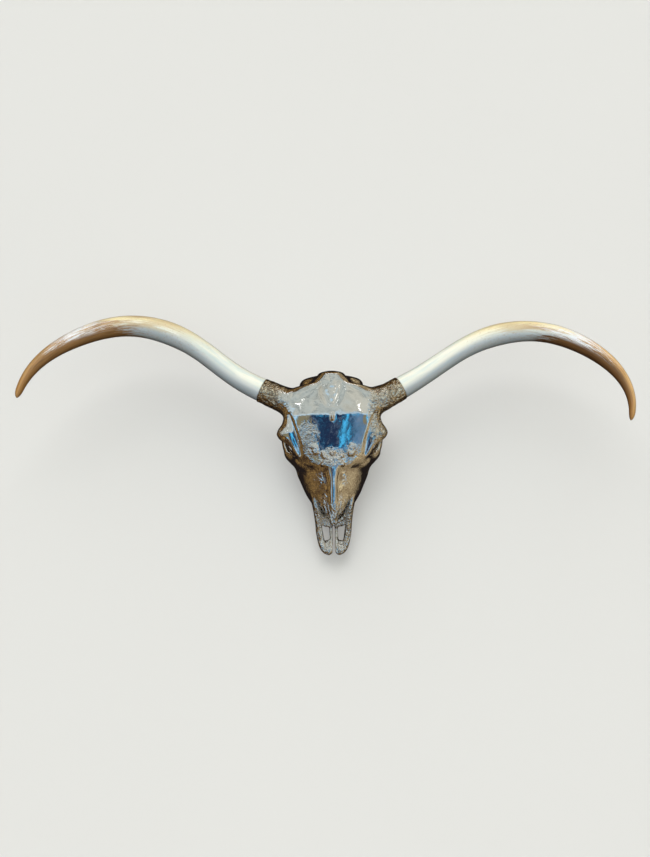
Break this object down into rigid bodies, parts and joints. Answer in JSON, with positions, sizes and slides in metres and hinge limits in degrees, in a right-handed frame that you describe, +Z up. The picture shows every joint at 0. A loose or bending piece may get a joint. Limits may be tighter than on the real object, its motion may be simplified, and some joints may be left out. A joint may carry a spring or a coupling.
{
  "type": "longhorn cattle skull",
  "caption": "Life-size chromed longhorn cattle skull without lower jaw, lying face up, with long polished horns that sweep out, arch and turn forward.",
  "frame": {"origin": "centre of the bounding box's bottom face, on the floor that the skull lies on", "axes": "+X across the skull towards the picture's right horn, +Y from the muzzle to the poll, +Z up out of the forehead"},
  "size_m": [1.462, 0.5874, 0.2763],
  "materials": {
    "chromed_bone": "bright mirror plating over bone, gently uneven, rough at the horn cores",
    "polished_horn": "polished cow horn, white at the root, creamy and amber along the arch, brown at the tip"
  },
  "bodies": {
    "root": {"cranium": "chromed_bone", "maxilla_left": "chromed_bone", "premaxilla_left": "chromed_bone", "nasal_left": "chromed_bone", "zygomatic_left": "chromed_bone", "maxilla_right": "chromed_bone", "premaxilla_right": "chromed_bone", "nasal_right": "chromed_bone", "zygomatic_right": "chromed_bone", "horn_left": "polished_horn", "horn_right": "polished_horn"}
  },
  "joints": []
}
